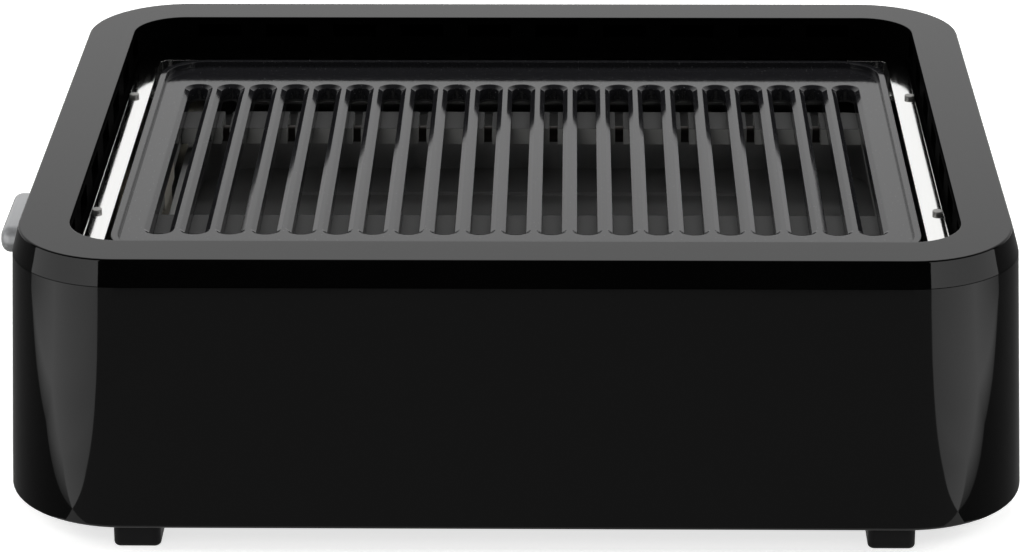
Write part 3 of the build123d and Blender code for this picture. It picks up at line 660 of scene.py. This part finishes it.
inner_edge = [corner_foot, *streak_inner]
outer_edge = [corner_foot, *streak_outer, (card_reach, streak_outer[-1][1])]
shade_edge = [(table_half_width, outer_edge[-1][1]), (table_half_width, card_reach)]
middle_edge = [
    ((outer_x + inner_x) / 2, (outer_y + inner_y) / 2)
    for (outer_x, outer_y), (inner_x, inner_y) in zip(outer_edge, inner_edge)
]
steps = len(inner_edge)
strips = [
    (step, step + 1, step + 1 + steps, step + steps) for step in range(2 * steps - 1) if step != steps - 1
]
row_glow = [level for level in streak_glow for step in range(steps)]
grey = laid(-1, inner_edge) + laid(1, reversed(inner_edge))
card("grey_card", grey, [range(len(grey))], [grey_glow] * len(grey))
for side, side_name in ((-1, "left"), (1, "right")):
    dark = [*outer_edge, *shade_edge, (corner_foot[0] / 2, card_reach), (corner_foot[0] / 2, 0)]
    card("dark_card_" + side_name, laid(side, dark), [range(len(dark))], [dark_glow] * len(dark))
    rows = laid(side, outer_edge + middle_edge + inner_edge)
    card("bright_card_" + side_name, rows, strips, row_glow)
    ends = [inner_edge[-1], fence_outer]
    fence = laid(side, ends) + laid(side, reversed(ends), fence_height)
    card("bright_fence_" + side_name, fence, [range(len(fence))], fence_glow)
print("cards:", card_paper.users)

# %% [markdown]
# ## The room
# The studio is bright behind the table and dark behind the viewer. The world can say that directly: its
# colour depends on the direction, white towards +Y, fading to both sides and nearly black towards -Y.
# The viewer sees plain white.

# %% World
rear_start = 0.3
rear_full = 0.6
front_level = 0.03
side_start = 0.15
side_full = 0.35
side_level = 0.75

world = bpy.data.worlds.new("studio")
bpy.context.scene.world = world
world.use_nodes = True
tree = world.node_tree
background = tree.nodes["Background"]
direction = add_node(tree, "ShaderNodeSeparateXYZ", {
    "Vector": add_node(tree, "ShaderNodeTexCoord").outputs["Generated"],
})
towards_rear = add_node(tree, "ShaderNodeMapRange", {
    "Value": direction.outputs["Y"],
    "From Min": rear_start,
    "From Max": rear_full,
    "To Min": front_level,
    "To Max": 1.0,
})
sideways = add_node(tree, "ShaderNodeMath", {0: direction.outputs["X"]}, operation="ABSOLUTE")
fade = add_node(tree, "ShaderNodeMapRange", {
    "Value": sideways.outputs["Value"],
    "From Min": side_start,
    "From Max": side_full,
    "To Min": 1.0,
    "To Max": side_level,
})
room = add_node(tree, "ShaderNodeMath", {
    0: towards_rear.outputs["Result"],
    1: fade.outputs["Result"],
}, operation="MULTIPLY")
ray = add_node(tree, "ShaderNodeLightPath")
level = add_node(tree, "ShaderNodeMath", {
    0: room.outputs["Value"],
    1: ray.outputs["Is Camera Ray"],
}, operation="MAXIMUM")
background.inputs["Color"].default_value = (1, 1, 1, 1)
tree.links.new(level.outputs["Value"], background.inputs["Strength"])
print("world:", world.name)

# %% [markdown]
# ## Lamps
# Three large softboxes do the lighting: one high behind, which lets the shadow fall forward, and one at
# each side. A soft one beside the camera opens the dark pieces. A lamp's power in watts spreads over
# its distance, so each one is set for the brightness it gives a white card at the grill.

# %% Softboxes
def softbox(name, place, size, card_level):
    """A square area lamp aimed at the grill, as bright on a white card there as card_level says."""
    lamp = bpy.data.lights.new(name, "AREA")
    lamp.size = size
    aim = Vector((0, 0, cad_high.z / 2)) - Vector(place)
    lamp.energy = card_level * pi * pi * aim.length_squared
    holder = bpy.data.objects.new(name, lamp)
    holder.location = place
    holder.rotation_euler = aim.to_track_quat("-Z", "Y").to_euler()
    holder.visible_glossy = False
    bpy.context.scene.collection.objects.link(holder)
    return lamp


for name, place, size, card_level in (
    ("softbox_rear", (0.2, 1.4, 1.9), 1.4, 0.45),
    ("softbox_left", (-1.8, -0.2, 1.2), 1.0, 0.35),
    ("softbox_right", (1.8, -0.2, 1.2), 1.0, 0.35),
    ("softbox_camera", (-0.4, -1.9, 1.6), 1.0, 0.15),
):
    print(name, round(softbox(name, place, size, card_level).energy, 1), "W")

# %% [markdown]
# ## The camera
# A long lens from a little above, as in a catalogue picture. The camera turns about the vertical, then
# tips down, then rolls a touch, in that order.

# %% Camera
camera_place = (0.0339, -1.6649, 0.7288)
camera_turn = 0.0174
camera_tip = 0.3844
camera_roll = -0.004
sensor_width_mm = 36
focal_length_mm = 133.4

lens = bpy.data.cameras.new("camera")
lens.sensor_width = sensor_width_mm
lens.lens = focal_length_mm
camera = bpy.data.objects.new("camera", lens)
camera.matrix_world = (
    Matrix.Translation(camera_place)
    @ Matrix.Rotation(camera_turn, 4, "Z")
    @ Matrix.Rotation(pi / 2 - camera_tip, 4, "X")
    @ Matrix.Rotation(camera_roll, 4, "Z")
)
bpy.context.scene.collection.objects.link(camera)
bpy.context.scene.camera = camera
bpy.context.scene.view_settings.view_transform = "Standard"
print("camera lens", lens.lens, "mm")

# %% [markdown]
# ## Size
# The dressed part has to be the size of the CAD model, whose box was measured when the frame was
# loaded.
